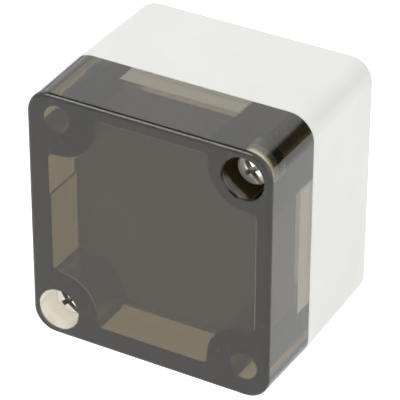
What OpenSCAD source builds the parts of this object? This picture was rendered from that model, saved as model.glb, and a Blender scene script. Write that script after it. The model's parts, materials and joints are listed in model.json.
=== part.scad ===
// Small wall-mount infra-red proximity sensor: grey housing, smoked cover, electronics inside.
// Parts are drawn with the case lying on its back: x across, y up the wall, z out from the wall.
// standing() then turns them so that the front looks along -Y and +Z is up.
// The origin is the centre of the wall face.

/* [Case] */
// Width of the housing across the wall
case_w = 50; // [50:0.5:56]
// Height of the housing up the wall
case_h = 52; // [52:0.5:58]
// Depth of the closed case, from the wall to the front face
case_d = 40; // [39:0.5:46]
// Depth of the smoked cover alone
cover_d = 15.5; // [15:0.5:18]
// Radius of the four long corners
corner_r = 5; // [4:0.25:6]
// Wall thickness of the housing and of the cover behind its front plate
wall = 3.7; // [3.4:0.1:3.8]
// Thickness of the housing's floor
floor_t = 2.5; // [2.2:0.1:3]
// Thickness of the cover's front plate
plate_t = 2.5; // [2:0.1:2.6]
// Rounding of the housing's back edge
back_edge_r = 1.2; // [0.6:0.1:1.6]
// Rounding of the cover's front edge
front_edge_r = 0.9; // [0.4:0.1:1]

/* [Joint between housing and cover] */
// How far the housing stands proud of the cover on each side
proud = 0; // [0:0.05:0.3]
// Thickness of the cover's skirt where it goes round the tongue
skirt_t = 1.15; // [1:0.05:1.3]
// Height of the housing's tongue above the joint
tongue_h = 3.8; // [3:0.1:4.2]
// Gap between pieces that part when the cover comes off
part_gap = 0.1; // [0.05:0.01:0.15]
// Thickness of the gasket on the tongue, pressed
gasket_t = 0.3; // [0.2:0.05:0.5]

/* [Corner posts] */
// Distance from the case's side to a post's axis
post_inset = 5.9; // [5.6:0.05:5.95]
// Outer radius of a post
post_r = 7.3; // [7:0.1:7.6]
// Radius of the cover's screw well
well_r = 4.2; // [4:0.05:4.4]
// Depth of the cover's screw well
well_d = 6.5; // [6:0.1:7]
// Radius of the blind cored holes in the other two posts
core_r = 2.8; // [2:0.1:2.9]
// Radius of a wall screw's hole
wall_hole_r = 2.1; // [2:0.05:2.15]
// Radius of the well that a wall screw's head goes down
wall_well_r = 3.8; // [3.5:0.1:4]

/* [Cover screws] */
// Thread radius of a cover screw
screw_r = 1.5; // [1.5:0.05:1.55]
// Thread pitch of a cover screw
screw_pitch = 0.5; // [0.5:0.05:0.7]
// Radius of the screw's pan head
head_r = 3.2; // [2.8:0.1:3.4]
// Height of the pan head
head_t = 2.3; // [2:0.1:2.4]
// Length of the screw under its head
screw_len = 15.5; // [14:0.5:16]
// Width of the driver slot across the head
slot_w = 1; // [0.8:0.05:1.2]
// Turn at which each screw's slot stopped when it was driven home
slot_turns = [-53, -49];
// Outer radius of the brass insert
insert_r = 2.3; // [2.3:0.05:2.5]
// Length of the brass insert
insert_len = 5.7; // [5:0.1:6]

/* [Cable entry] */
// Distance of the cable entry from the wall
entry_z = 12; // [11.5:0.5:13]
// Radius of the hole in the bottom wall
entry_r = 5.5; // [5:0.1:6]
// Radius of the grommet's flush flange
entry_flange_r = 7.4; // [7:0.1:7.6]
// Radius of the hole through the grommet's membrane
cable_r = 2; // [1.5:0.1:2.5]

/* [Circuit board] */
// Distance from the wall to the board's back
board_z = 7; // [6.5:0.5:7.5]
// Thickness of the board
board_t = 1.6; // [1.2:0.2:1.6]
// Gap between the board and the walls
board_gap = 0.3; // [0.2:0.1:0.5]

/* [Optics] */
// Distance of each optical axis from the middle
optic_x = 8.2; // [8:0.1:8.5]
// Height of the optical axes above the middle
optic_y = 7.5; // [7:0.1:7.8]
// Outer radius of a barrel
barrel_r = 6; // [5.9:0.05:6.1]
// Height of the barrels above the board
barrel_h = 15.2; // [14:0.1:15.4]
// Radius of the lenses
lens_r = 5.1; // [5:0.05:5.15]
// Thickness of the infra-red filter panel
panel_t = 1.2; // [0.8:0.1:1.5]

/* [Terminals] */
// Number of wire terminals
terminal_n = 4; // [4:1:4]
// Distance from terminal to terminal
terminal_pitch = 3.5; // [3.5:0.05:3.6]
// How far a clamp rises as its screw is driven in
clamp_travel = 2; // [1.5:0.1:2.1]

/* [Hidden] */
$fn = 64;
eps = 0.01;

// Levels, measured out from the wall
joint_z = case_d - cover_d;
tongue_z = joint_z + tongue_h;
gasket_z = tongue_z + gasket_t;
groove_z = gasket_z + part_gap;
cavity_z = case_d - plate_t;
seat_z = case_d - well_d;
board_top = board_z + board_t;
panel_top = tongue_z - 0.2;
panel_z = panel_top - panel_t;

// Plan sizes
cover_w = case_w - 2 * proud;
cover_h = case_h - 2 * proud;
cover_r = corner_r - proud;
inner_w = case_w - 2 * wall;
inner_h = case_h - 2 * wall;
inner_r = corner_r - wall;
post_x = case_w / 2 - post_inset;
post_y = case_h / 2 - post_inset;
tongue_out = proud + skirt_t + part_gap;
tongue_gap = 0.15;

// Thicker patch on the cover's left wall, and how far up it reaches
patch_t = 0.5;
patch_top = 3.8;

// Opposite corners: +1 is top right and bottom left, -1 is top left and bottom right
SCREW_CORNERS = [[1, 1], [-1, -1]];
WALL_CORNERS = [[-1, 1], [1, -1]];
ALL_CORNERS = concat(SCREW_CORNERS, WALL_CORNERS);

// Cover screws and their seal rings
ring_cord_r = 0.5;
ring_in_r = screw_r + 0.05;
ring_t = 0.8;
head_z = seat_z + ring_t;
shank_hole_r = screw_r + 0.2;
tip_hole_z = joint_z - 12;
thread_depth = 0.3;

// Board layout: [x, y] on the board, in millimetres from its middle
BOARD_SCREWS = [[18.3, 8.5], [-18.3, 8.5], [9, -18], [-9, -18]];
board_notch = [13.6, 1.8];
standoff_r = 2.4;
board_screw_r = 0.9;
board_head_r = 1.9;
board_head_t = 1.2;
relay_at = [14.4, -7.7];
relay_size = [12.4, 7.4, 10];
big_cap_at = [-12.2, -7.8];
big_cap_r = 3.15;
big_cap_h = 11;
small_cap_at = [-18.2, -7.6];
small_cap_r = 2;
small_cap_h = 7;
trimmer_x = 7.2;
trimmer_y = 18.2;
trimmer_size = [6, 6, 3.6];
rotor_r = 2;
rotor_t = 1.2;
switch_at = [0, 18.2];
switch_size = [5.4, 6, 2.6];
slider_pitch = 2.54;
slider_travel = 1.2;
slider_size = [0.9, 1.1, 1.5];
button_at = [-17.4, -0.4];
button_size = [6, 6, 3.5];
plunger_r = 1.75;
plunger_out = 1.5;
plunger_in = 1.2;
plunger_travel = 0.3;
chip_at = [0, -4.6];
chip_size = [8.7, 3.9, 1.5];
regulator_at = [11, -1.1];
regulator_size = [4.5, 2.5, 1.5];
coil_at = [-9.4, -13.7];
coil_size = [4, 4, 2];
DIODES = [[17.4, -1], [-8.6, -2.2]];
diode_size = [4.3, 2.6, 2.1];
LAMPS = [[-1.4, 13.4], [1.4, 13.4]];
lamp_size = [1.6, 0.9, 0.7];
RESISTORS = [
    for (i = [0:4]) [-4.4 + 2.2 * i, 0.4],
    for (i = [0:1]) [18.6, 2.4 + 1.6 * i]
];
CAPACITORS = [
    for (i = [0:2]) [-12.9, -3.3 + 1.5 * i],
    for (i = [0:1]) [7.2, -3.2 - 1.9 * i]
];
chip_part_size = [1.6, 0.8, 0.6];

// Terminal block
block_y = -16.5;
block_size = [terminal_n * terminal_pitch, 7.4, 9];
block_floor = 0.6;
chamber = [3, 3.2, 6.8];
chamber_y = block_y + 0.9;
cage = [2.8, 2.7, 4.6];
cage_side = 0.35;
cage_top = 0.8;
cage_bottom = 0.5;
cage_z = board_top + block_floor + 0.1;
bar_w = 1.6;
bar_t = 0.5;
bar_z = cage_z + cage[2] - cage_top - bar_t - 0.2;
pin_y = block_y + block_size[1] - 1.2;
clamp_screw_r = 0.9;
clamp_head_r = 1.35;
clamp_head_t = 1.2;
clamp_roof_z = board_top + block_floor + chamber[2];
wire_slot = [2.4, 2.5];

// Leads that pass through the board
lead_r = 0.3;
lead_out = 0.9;
LED_LEADS = [for (s = [-1, 1], t = [-1, 1]) [s * optic_x + t * 1.27, optic_y]];
CAP_LEADS = [
    for (t = [-1, 1]) [big_cap_at[0] + t * 1.25, big_cap_at[1]],
    for (t = [-1, 1]) [small_cap_at[0] + t, small_cap_at[1]]
];
RELAY_LEADS = [
    for (i = [0:3], s = [-1, 1]) [relay_at[0] - 4.9 + i * 3.2, relay_at[1] + s * 2.54]
];
TERMINAL_LEADS = [for (i = [0:terminal_n - 1]) [terminal_x(i), pin_y]];

function terminal_x(i) = (i - (terminal_n - 1) / 2) * terminal_pitch;

// ---------- shared shapes ----------

module standing() {
    rotate([90, 0, 0])
        children();
}

module at_corners(corners) {
    for (c = corners)
        translate([c[0] * post_x, c[1] * post_y, 0])
            children();
}

module round_rect(w, h, r) {
    square([w - 2 * r, h], center = true);
    square([w, h - 2 * r], center = true);
    for (x = [-1, 1], y = [-1, 1])
        translate([x * (w / 2 - r), y * (h / 2 - r)])
            circle(r);
}

// Profile of a slab's side, with its top edge rounded
module edge_profile(w, t, e) {
    translate([-w / 2, 0])
        square([w, t - e]);
    translate([-w / 2 + e, 0])
        square([w - 2 * e, t]);
    for (s = [-1, 1])
        translate([s * (w / 2 - e), t - e])
            circle(e);
}

// Block with round corners of radius r, its top edge rounded by e all the way round
module soft_block(w, h, t, r, e) {
    for (x = [-1, 1], y = [-1, 1])
        translate([x * (w / 2 - r), y * (h / 2 - r), 0])
            rotate_extrude() {
                square([r, t - e]);
                square([r - e, t]);
                translate([r - e, t - e])
                    circle(e);
            }
    rotate([90, 0, 0])
        linear_extrude(h - 2 * r, center = true)
            edge_profile(w, t, e);
    rotate([90, 0, 90])
        linear_extrude(w - 2 * r, center = true)
            edge_profile(h, t, e);
}

// The case's hollow in plan: straight walls, with the four posts left standing
module hollow_plan(w, h, r, post) {
    difference() {
        round_rect(w, h, r);
        at_corners(ALL_CORNERS)
            circle(post);
    }
}

module box_on(at, size, z) {
    translate([at[0] - size[0] / 2, at[1] - size[1] / 2, z])
        cube(size);
}

module lead(at, top) {
    translate([at[0], at[1], board_z - lead_out])
        cylinder(r = lead_r, h = top - board_z + lead_out);
}

// Rod with thread ridges, its tip at z = 0
module threaded_rod(r, pitch, len) {
    turns = floor(len / pitch) - 1;
    root = r - thread_depth;
    rotate_extrude()
        polygon(concat(
            [[0, 0], [root, 0]],
            [for (i = [0:turns - 1], k = [0:1]) [k == 0 ? root : r, (i + 0.5 + 0.5 * k) * pitch]],
            [[root, (turns + 0.5) * pitch], [root, len], [0, len]]
        ));
}

// Cross recess, cut down from z = 0
module cross_recess(span, slot_w, depth) {
    for (a = [0, 90])
        rotate([0, 0, a])
            translate([-span / 2, -slot_w / 2, -depth])
                cube([span, slot_w, depth + 1]);
    translate([0, 0, -depth - 0.3])
        cylinder(r1 = slot_w * 0.4, r2 = slot_w * 0.95, h = depth + 0.3);
}

// ---------- case ----------

module base_housing() {
    color("#e4e5e1")
        standing()
            difference() {
                union() {
                    difference() {
                        translate([0, 0, joint_z])
                            mirror([0, 0, 1])
                                soft_block(case_w, case_h, joint_z, corner_r, back_edge_r);
                        translate([0, 0, floor_t])
                            linear_extrude(joint_z)
                                hollow_plan(inner_w, inner_h, inner_r, post_r);
                    }
                    tongue();
                    for (p = BOARD_SCREWS)
                        translate([p[0], p[1], floor_t - eps])
                            cylinder(r = standoff_r, h = board_z - floor_t + eps);
                }
                housing_bores();
            }
}

module tongue() {
    translate([0, 0, joint_z - eps])
        linear_extrude(tongue_h + eps)
            difference() {
                hollow_plan(case_w - 2 * tongue_out, case_h - 2 * tongue_out,
                            corner_r - tongue_out, post_r + tongue_gap);
                round_rect(inner_w, inner_h, inner_r);
            }
}

module housing_bores() {
    at_corners(SCREW_CORNERS) {
        translate([0, 0, joint_z - insert_len])
            cylinder(r = insert_r, h = insert_len + 1);
        translate([0, 0, tip_hole_z])
            cylinder(r = shank_hole_r, h = joint_z - tip_hole_z);
    }
    at_corners(WALL_CORNERS) {
        translate([0, 0, -1])
            cylinder(r = wall_hole_r, h = joint_z);
        translate([0, 0, floor_t + 0.7])
            cylinder(r = wall_well_r, h = joint_z);
    }
    for (p = BOARD_SCREWS)
        translate([p[0], p[1], floor_t + 0.7])
            cylinder(r = board_screw_r, h = board_z);
    translate([0, -case_h / 2, entry_z])
        rotate([-90, 0, 0]) {
            translate([0, 0, -1])
                cylinder(r = entry_r, h = wall + 2);
            translate([0, 0, -1])
                cylinder(r = entry_flange_r + 0.05, h = 2);
        }
}

module brass_inserts() {
    color("#b9963f")
        standing()
            at_corners(SCREW_CORNERS)
                translate([0, 0, joint_z - insert_len])
                    difference() {
                        union() {
                            cylinder(r = insert_r - 0.25, h = insert_len - 0.02);
                            for (z = [0, insert_len * 0.37, insert_len * 0.74])
                                translate([0, 0, z])
                                    cylinder(r = insert_r - 0.02, h = insert_len * 0.26 - 0.02);
                        }
                        translate([0, 0, -1])
                            cylinder(r = screw_r + 0.04, h = insert_len + 2);
                    }
}

// Flush rubber grommet with a funnelled membrane
module cable_grommet() {
    lip_r = entry_r + 0.9;
    color("#26272a")
        standing()
            translate([0, -case_h / 2, entry_z])
                rotate([-90, 0, 0])
                    difference() {
                        union() {
                            cylinder(r = entry_flange_r, h = 0.95);
                            cylinder(r = entry_r - 0.02, h = wall + 0.6);
                            translate([0, 0, wall + 0.03])
                                cylinder(r1 = lip_r, r2 = entry_r - 0.4, h = 1.2);
                        }
                        translate([0, 0, -1])
                            cylinder(r = cable_r, h = wall + 4);
                        translate([0, 0, -eps])
                            cylinder(r1 = entry_r - 0.9, r2 = cable_r + 0.6, h = wall - 1.3);
                        translate([0, 0, wall + 0.7])
                            cylinder(r = cable_r + 1, h = 2);
                    }
}

module cover_gasket() {
    color("#bfc0bd")
        standing()
            translate([0, 0, tongue_z])
                linear_extrude(gasket_t)
                    difference() {
                        hollow_plan(case_w - 2 * tongue_out - 0.6, case_h - 2 * tongue_out - 0.6,
                                    corner_r - tongue_out - 0.3, post_r + 0.4);
                        round_rect(inner_w + 0.6, inner_h + 0.6, inner_r + 0.3);
                    }
}

module smoked_cover() {
    color([0.16, 0.14, 0.12, 0.6])
        standing() {
            difference() {
                translate([0, 0, joint_z + part_gap])
                    soft_block(cover_w, cover_h, cover_d - part_gap, cover_r, front_edge_r);
                translate([0, 0, joint_z])
                    linear_extrude(cavity_z - joint_z)
                        hollow_plan(inner_w, inner_h, inner_r, post_r);
                translate([0, 0, joint_z])
                    linear_extrude(groove_z - joint_z)
                        hollow_plan(cover_w - 2 * skirt_t, cover_h - 2 * skirt_t,
                                    cover_r - skirt_t, post_r);
                cover_bores();
                panel_grooves();
            }
            thick_patch();
        }
}

// The left wall is a little thicker over its lower part, above the tongue
module thick_patch() {
    intersection() {
        translate([-inner_w / 2 - eps, -inner_h / 2, groove_z])
            cube([patch_t + eps, inner_h / 2 + patch_top, cavity_z - groove_z + eps]);
        linear_extrude(case_d)
            hollow_plan(inner_w + 2 * eps, inner_h, inner_r, post_r - eps);
    }
}

module cover_bores() {
    at_corners(SCREW_CORNERS) {
        translate([0, 0, seat_z])
            cylinder(r = well_r, h = well_d + 1);
        translate([0, 0, joint_z])
            cylinder(r = shank_hole_r, h = cover_d);
    }
    at_corners(WALL_CORNERS)
        translate([0, 0, joint_z])
            cylinder(r = core_r, h = cavity_z - joint_z);
}

// Snap grooves round the posts that hold the filter panel
module panel_grooves() {
    groove = 0.35;
    translate([0, 0, panel_z - 0.05])
        linear_extrude(panel_t + 0.1)
            intersection() {
                round_rect(inner_w, inner_h, inner_r);
                at_corners(ALL_CORNERS)
                    difference() {
                        circle(post_r + 1);
                        circle(post_r - groove);
                    }
            }
}

module filter_panel() {
    clear = 0.25;
    color("#4b4641")
        standing()
            translate([0, 0, panel_z])
                linear_extrude(panel_t)
                    hollow_plan(inner_w - 2 * clear, inner_h - 2 * clear, inner_r, post_r - 0.3);
}

// ---------- cover screws ----------

module cover_screw(corner, turn) {
    dome = 0.6;
    slot_d = 0.9;
    color("#c9cacc")
        standing()
            at_corners([corner])
                rotate([0, 0, turn])
                    difference() {
                        union() {
                            translate([0, 0, head_z - screw_len])
                                threaded_rod(screw_r, screw_pitch, screw_len + eps);
                            translate([0, 0, head_z])
                                rotate_extrude() {
                                    square([head_r, head_t - dome - eps]);
                                    square([head_r - dome, head_t]);
                                    translate([head_r - dome, head_t - dome])
                                        circle(dome);
                                }
                        }
                        translate([0, 0, head_z + head_t])
                            cross_recess(3.8, 0.85, 1.3);
                        translate([-head_r - 1, -slot_w / 2, head_z + head_t - slot_d])
                            cube([2 * head_r + 2, slot_w, slot_d + 1]);
                    }
}

module seal_ring(corner) {
    color("#1d1d1f")
        standing()
            at_corners([corner])
                translate([0, 0, seat_z + ring_t / 2])
                    rotate_extrude()
                        translate([ring_in_r + ring_cord_r, 0])
                            intersection() {
                                circle(ring_cord_r);
                                square([2 * ring_cord_r, ring_t - 0.02], center = true);
                            }
}

// ---------- board ----------

module circuit_board() {
    color("#1f5b3a")
        standing()
            translate([0, 0, board_z])
                difference() {
                    linear_extrude(board_t)
                        hollow_plan(inner_w - 2 * board_gap, inner_h - 2 * board_gap,
                                    inner_r, post_r + board_gap);
                    for (p = concat(LED_LEADS, CAP_LEADS, RELAY_LEADS, TERMINAL_LEADS))
                        translate([p[0], p[1], -1])
                            cylinder(r = lead_r + 0.12, h = board_t + 2);
                    for (p = BOARD_SCREWS)
                        translate([p[0], p[1], -1])
                            cylinder(r = board_screw_r + 0.25, h = board_t + 2);
                    translate([-board_notch[0] / 2, -inner_h / 2, -1])
                        cube([board_notch[0], board_notch[1], board_t + 2]);
                }
}

module board_screws() {
    color("#b8babd")
        standing()
            for (p = BOARD_SCREWS)
                translate([p[0], p[1], 0])
                    difference() {
                        union() {
                            translate([0, 0, board_top])
                                cylinder(r1 = board_head_r, r2 = board_head_r - 0.5, h = board_head_t);
                            translate([0, 0, floor_t + 1.2])
                                cylinder(r = board_screw_r - 0.02, h = board_top - floor_t - 1.2 + eps);
                        }
                        translate([0, 0, board_top + board_head_t])
                            cross_recess(1.9, 0.45, 0.5);
                    }
}

// ---------- optics ----------

module optics_carrier() {
    bore = lens_r + 0.05;
    seat = barrel_h - 2;
    color("#17181a")
        standing()
            translate([0, 0, board_top])
                difference() {
                    union() {
                        for (s = [-1, 1])
                            translate([s * optic_x, optic_y, 0])
                                cylinder(r = barrel_r, h = barrel_h);
                        translate([-optic_x, optic_y - 2, 0])
                            cube([2 * optic_x, 4, barrel_h - 4]);
                    }
                    for (s = [-1, 1])
                        translate([s * optic_x, optic_y, 0]) {
                            translate([0, 0, seat])
                                cylinder(r = bore, h = barrel_h);
                            translate([0, 0, 3.2])
                                cylinder(r = bore - 0.8, h = barrel_h);
                            translate([0, 0, 2])
                                cylinder(r = 2.55, h = barrel_h);
                            translate([0, 0, -1])
                                cylinder(r = 3, h = 3.05);
                        }
                }
}

// Plano-convex lens on its seat in a barrel
module lens(side) {
    rise = 1.4;
    rim = 1;
    dome_r = (lens_r * lens_r + rise * rise) / (2 * rise);
    standing()
        translate([side * optic_x, optic_y, board_top + barrel_h - 2]) {
            cylinder(r = lens_r, h = rim);
            intersection() {
                translate([0, 0, rim + rise - dome_r])
                    sphere(dome_r);
                translate([0, 0, rim - eps])
                    cylinder(r = lens_r, h = rise + 1);
            }
        }
}

module emitter_lens() {
    color([0.85, 0.88, 0.92, 0.5])
        lens(-1);
}

module receiver_lens() {
    color([0.85, 0.88, 0.92, 0.5])
        lens(1);
}

// Round 5 mm opto part with a domed body, a flange and two leads
module opto(side) {
    body_r = 2.45;
    flange_r = 2.9;
    flange_z = board_top + 0.9;
    standing() {
        translate([side * optic_x, optic_y, 0]) {
            translate([0, 0, flange_z])
                cylinder(r = flange_r, h = 1);
            translate([0, 0, flange_z])
                cylinder(r = body_r, h = 6.2);
            translate([0, 0, flange_z + 6.2])
                sphere(body_r);
        }
        for (t = [-1, 1])
            lead([side * optic_x + t * 1.27, optic_y], flange_z + eps);
    }
}

module emitter_led() {
    color([0.7, 0.8, 0.95, 0.8])
        opto(-1);
}

module receiver_diode() {
    color("#15131a")
        opto(1);
}

// ---------- relay and terminals ----------

module relay_case() {
    nub_r = 0.8;
    color("#e8e6df")
        standing()
            translate([relay_at[0], relay_at[1], board_top + 0.4]) {
                soft_block(relay_size[0], relay_size[1], relay_size[2] - 0.4, 0.6, 0.3);
                translate([relay_size[0] / 2 - 2, relay_size[1] / 2 - 2, relay_size[2] - 0.4 - eps])
                    cylinder(r = nub_r, h = 0.4);
            }
}

module relay_pins() {
    color("#c4c4c0")
        standing()
            for (p = RELAY_LEADS)
                lead(p, board_top + 0.4);
}

module terminal_housing() {
    color("#2f6f4a")
        standing()
            difference() {
                translate([-block_size[0] / 2, block_y, board_top])
                    cube(block_size);
                for (i = [0:terminal_n - 1])
                    translate([terminal_x(i), 0, 0])
                        terminal_cut();
            }
}

module terminal_cut() {
    translate([-chamber[0] / 2, chamber_y, board_top + block_floor])
        cube(chamber);
    translate([-wire_slot[0] / 2, block_y - 1, cage_z + cage_bottom])
        cube([wire_slot[0], chamber_y - block_y + chamber[1] + 2, wire_slot[1]]);
    translate([0, chamber_y + chamber[1] / 2, clamp_roof_z - eps])
        cylinder(r = clamp_head_r + 0.08, h = block_size[2]);
    translate([-bar_w / 2 - 0.05, chamber_y, bar_z - 0.05])
        cube([bar_w + 0.1, pin_y - chamber_y + 0.5, bar_t + 0.1]);
    translate([0, pin_y, board_top - 1])
        cylinder(r = lead_r + 0.15, h = bar_z - board_top + 1);
}

module terminal_contacts() {
    color("#cfcfca")
        standing()
            for (i = [0:terminal_n - 1]) {
                translate([terminal_x(i) - bar_w / 2, chamber_y + 0.1, bar_z])
                    cube([bar_w, pin_y - chamber_y + 0.3, bar_t]);
                lead([terminal_x(i), pin_y], bar_z + eps);
            }
}

module terminal_screw(i) {
    slot_w = 0.4;
    color("#c6c7c9")
        standing()
            translate([terminal_x(i), chamber_y + chamber[1] / 2, clamp_roof_z + 0.1])
                difference() {
                    union() {
                        cylinder(r = clamp_head_r, h = clamp_head_t);
                        translate([0, 0, bar_z + bar_t + 0.05 - clamp_roof_z - 0.1])
                            cylinder(r = clamp_screw_r, h = clamp_roof_z - bar_z - bar_t + 0.1);
                    }
                    translate([-clamp_head_r - 1, -slot_w / 2, clamp_head_t - 0.6])
                        cube([2 * clamp_head_r + 2, slot_w, 1]);
                }
}

module terminal_clamp(i) {
    color("#a9a48f")
        standing()
            translate([terminal_x(i), chamber_y + chamber[1] / 2, cage_z])
                difference() {
                    translate([-cage[0] / 2, -cage[1] / 2, 0])
                        cube(cage);
                    translate([-cage[0] / 2 + cage_side, -cage[1] / 2 - 1, cage_bottom])
                        cube([cage[0] - 2 * cage_side, cage[1] + 2, cage[2] - cage_top - cage_bottom]);
                    translate([0, 0, cage[2] - cage_top - 1])
                        cylinder(r = clamp_screw_r + 0.04, h = cage_top + 2);
                }
}

// ---------- controls ----------

module trimmer(side) {
    standing()
        translate([side * trimmer_x, trimmer_y, board_top])
            difference() {
                soft_block(trimmer_size[0], trimmer_size[1], trimmer_size[2], 0.5, 0.2);
                translate([0, 0, trimmer_size[2] - rotor_t])
                    cylinder(r = rotor_r + 0.06, h = rotor_t + 1);
            }
}

module rotor(side) {
    standing()
        translate([side * trimmer_x, trimmer_y, board_top + trimmer_size[2] - rotor_t + 0.05])
            difference() {
                cylinder(r = rotor_r, h = rotor_t);
                translate([0, 0, rotor_t])
                    cross_recess(2.6, 0.5, 0.6);
            }
}

module sensitivity_trimmer() {
    color("#2b62a8")
        trimmer(-1);
}

module sensitivity_rotor() {
    color("#f0efe8")
        rotor(-1);
}

module delay_trimmer() {
    color("#2b62a8")
        trimmer(1);
}

module delay_rotor() {
    color("#f0efe8")
        rotor(1);
}

module mode_switch() {
    slot = [slider_size[0] + 0.16, slider_size[1] + slider_travel + 0.2, 1];
    color("#b3261f")
        standing()
            difference() {
                box_on(switch_at, switch_size, board_top);
                for (s = [-1, 1])
                    box_on([switch_at[0] + s * slider_pitch / 2, switch_at[1]], slot,
                           board_top + switch_size[2] - 0.9);
            }
}

module mode_slider(side) {
    color("#f2f1ec")
        standing()
            box_on([switch_at[0] + side * slider_pitch / 2, switch_at[1] - slider_travel / 2],
                   slider_size, board_top + switch_size[2] - 0.85);
}

module test_button() {
    color("#2a2b2d")
        standing()
            difference() {
                box_on(button_at, button_size, board_top);
                translate([button_at[0], button_at[1], board_top + button_size[2] - plunger_in - 0.4])
                    cylinder(r = plunger_r + 0.07, h = plunger_in + 1);
            }
}

module test_plunger() {
    color("#d9d8d2")
        standing()
            translate([button_at[0], button_at[1], board_top + button_size[2] - plunger_in])
                cylinder(r = plunger_r, h = plunger_in + plunger_out);
}

// ---------- small board parts ----------

module can(at, r, h) {
    gap = 0.3;
    difference() {
        translate([at[0], at[1], board_top + gap])
            rotate_extrude() {
                square([r, h - gap - 0.3]);
                square([r - 0.3, h - gap]);
                translate([r - 0.3, h - gap - 0.3])
                    circle(0.3);
            }
        translate([at[0], at[1], board_top + 1.5])
            rotate_extrude()
                translate([r + 0.25, 0])
                    circle(0.5);
    }
}

module smoothing_capacitor() {
    color("#23324f")
        standing() {
            can(big_cap_at, big_cap_r, big_cap_h);
            for (t = [0, 1])
                lead(CAP_LEADS[t], board_top + 0.3 + eps);
        }
}

module timing_capacitor() {
    color("#23324f")
        standing() {
            can(small_cap_at, small_cap_r, small_cap_h);
            for (t = [2, 3])
                lead(CAP_LEADS[t], board_top + 0.3 + eps);
        }
}

module controller_chip() {
    leg = [0.4, 1.05, 0.15];
    color("#1b1c1e")
        standing() {
            box_on(chip_at, chip_size, board_top + 0.1);
            for (i = [-3:3], s = [-1, 1])
                box_on([chip_at[0] + i * 1.2, chip_at[1] + s * 2.4], leg, board_top);
        }
}

module voltage_regulator() {
    color("#202124")
        standing() {
            box_on(regulator_at, regulator_size, board_top);
            for (i = [-1:1])
                box_on([regulator_at[0] + i * 1.5, regulator_at[1] - 1.6], [0.5, 0.8, 0.3], board_top);
            box_on([regulator_at[0], regulator_at[1] + 1.5], [1.7, 0.6, 0.3], board_top);
        }
}

module choke_coil() {
    color("#3a3a3d")
        standing()
            translate([coil_at[0], coil_at[1], board_top])
                soft_block(coil_size[0], coil_size[1], coil_size[2], 0.9, 0.3);
}

module protection_diodes() {
    color("#1d1d20")
        standing()
            for (p = DIODES) {
                box_on(p, diode_size, board_top + 0.1);
                for (s = [-1, 1])
                    box_on([p[0] + s * 2.1, p[1]], [0.9, 1.4, 0.3], board_top);
            }
}

module indicator_lamps() {
    color("#e8e2b8")
        standing()
            for (p = LAMPS)
                box_on(p, lamp_size, board_top);
}

module chip_resistors() {
    color("#2a2a2c")
        standing()
            for (p = RESISTORS)
                box_on(p, chip_part_size, board_top);
}

module chip_capacitors() {
    color("#b49a72")
        standing()
            for (p = CAPACITORS)
                box_on(p, chip_part_size, board_top);
}

base_housing();
brass_inserts();
cable_grommet();
cover_gasket();
circuit_board();
board_screws();
optics_carrier();
emitter_lens();
receiver_lens();
emitter_led();
receiver_diode();
relay_case();
relay_pins();
terminal_housing();
terminal_contacts();
sensitivity_trimmer();
sensitivity_rotor();
delay_trimmer();
delay_rotor();
mode_switch();
mode_slider(-1);  // mode_slider_1
mode_slider(1);  // mode_slider_2
test_button();
test_plunger();
smoothing_capacitor();
timing_capacitor();
controller_chip();
voltage_regulator();
choke_coil();
protection_diodes();
indicator_lamps();
chip_resistors();
chip_capacitors();
smoked_cover();
filter_panel();
seal_ring(SCREW_CORNERS[0]);  // seal_ring_1
cover_screw(SCREW_CORNERS[0], slot_turns[0]);  // cover_screw_1
seal_ring(SCREW_CORNERS[1]);  // seal_ring_2
cover_screw(SCREW_CORNERS[1], slot_turns[1]);  // cover_screw_2
for (i = [0:terminal_n - 1]) {
    terminal_screw(i);
    terminal_clamp(i);
}
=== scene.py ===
import json
import math

import bpy
import bmesh
from mathutils import Matrix, Vector


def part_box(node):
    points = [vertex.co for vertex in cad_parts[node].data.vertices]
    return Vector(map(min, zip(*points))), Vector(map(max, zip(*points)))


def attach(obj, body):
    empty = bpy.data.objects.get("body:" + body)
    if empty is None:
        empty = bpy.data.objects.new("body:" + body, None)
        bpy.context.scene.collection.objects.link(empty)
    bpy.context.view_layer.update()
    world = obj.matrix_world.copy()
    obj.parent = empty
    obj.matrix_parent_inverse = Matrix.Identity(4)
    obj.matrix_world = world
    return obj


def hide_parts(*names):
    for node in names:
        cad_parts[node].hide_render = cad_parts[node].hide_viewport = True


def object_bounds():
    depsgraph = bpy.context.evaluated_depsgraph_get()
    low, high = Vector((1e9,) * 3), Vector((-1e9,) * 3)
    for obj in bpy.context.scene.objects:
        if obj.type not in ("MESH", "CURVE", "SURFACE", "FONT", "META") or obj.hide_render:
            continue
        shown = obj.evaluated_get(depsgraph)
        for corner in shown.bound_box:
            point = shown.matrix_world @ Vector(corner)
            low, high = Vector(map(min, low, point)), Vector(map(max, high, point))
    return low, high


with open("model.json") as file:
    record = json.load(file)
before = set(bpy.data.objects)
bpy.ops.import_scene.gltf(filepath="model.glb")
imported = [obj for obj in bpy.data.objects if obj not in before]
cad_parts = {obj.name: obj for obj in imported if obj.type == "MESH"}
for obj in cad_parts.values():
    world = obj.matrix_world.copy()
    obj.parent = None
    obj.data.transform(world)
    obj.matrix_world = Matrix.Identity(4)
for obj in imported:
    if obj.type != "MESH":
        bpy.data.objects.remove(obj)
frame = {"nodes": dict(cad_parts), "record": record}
cad_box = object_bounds()
scene = bpy.context.scene
nodes = frame["nodes"]

# Sizes in millimetres, as the part's source has them. Pieces are drawn with the case lying on
# its back: x across, y up the wall and a level out from the wall.
MM = 0.001
LYING = Matrix.Rotation(math.radians(90), 4, "X") @ Matrix.Scale(MM, 4)

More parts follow.
